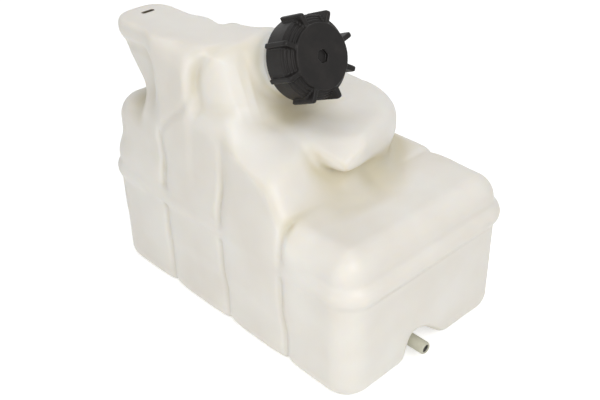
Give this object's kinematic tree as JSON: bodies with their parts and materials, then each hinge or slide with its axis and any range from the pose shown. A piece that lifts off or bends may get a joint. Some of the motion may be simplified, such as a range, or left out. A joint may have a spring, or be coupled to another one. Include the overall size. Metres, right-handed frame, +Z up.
{
  "type": "coolant expansion tank",
  "caption": "Translucent moulded coolant expansion tank with a tilted filler neck, screw pressure cap, slotted mounting tab and bottom outlet spigot.",
  "frame": {"origin": "centre of the flat base of the tank, on the surface it rests on", "axes": "+X along the tank towards the outlet end, +Y across it away from the side with the mounting tab, +Z up"},
  "size_m": [0.376, 0.2376, 0.3305],
  "materials": {
    "tank_plastic": "translucent, satin",
    "spigot_plastic": "satin",
    "cap_plastic": "satin",
    "insert_plastic": "satin",
    "seal_rubber": "matte",
    "valve_metal": "plain",
    "spring_steel": "drawn wire"
  },
  "bodies": {
    "tank": {"tank_body": "tank_plastic", "outlet_spigot": "spigot_plastic"},
    "cap_core": {"cap_insert": "insert_plastic", "insert_o_ring": "seal_rubber", "spring_retainer": "insert_plastic", "pressure_spring": "spring_steel"},
    "cap": {"cap_shell": "cap_plastic"},
    "pressure_valve": {"pressure_plate": "valve_metal", "pressure_seal": "seal_rubber", "vacuum_spring": "spring_steel"},
    "vacuum_valve": {"vacuum_valve": "valve_metal"}
  },
  "joints": [
    {"name": "cap_lift", "type": "slide", "parent": "tank", "child": "cap_core", "axis": [0.9272, 0, 0.3746], "range_m": [0, 0.0135]},
    {"name": "cap_turn", "type": "hinge", "parent": "cap_core", "child": "cap", "pos_m": [0.013, -0.029, 0.2715], "axis": [0.9272, 0, 0.3746], "range_deg": [0, 810]},
    {"name": "pressure_valve_lift", "type": "slide", "parent": "cap_core", "child": "pressure_valve", "axis": [0.9272, 0, 0.3746], "range_m": [0, 0.003], "stiffness_N_per_m": 7000, "springref_m": -0.0035, "deforming": ["pressure_spring"]},
    {"name": "vacuum_valve_drop", "type": "slide", "parent": "pressure_valve", "child": "vacuum_valve", "axis": [-0.9272, 0, -0.3746], "range_m": [0, 0.0015], "stiffness_N_per_m": 400, "springref_m": -0.002, "deforming": ["vacuum_spring"]}
  ],
  "couplings": [
    {"joint": "cap_lift", "follows": "cap_turn", "m_per_rad": 0.00095493}
  ]
}
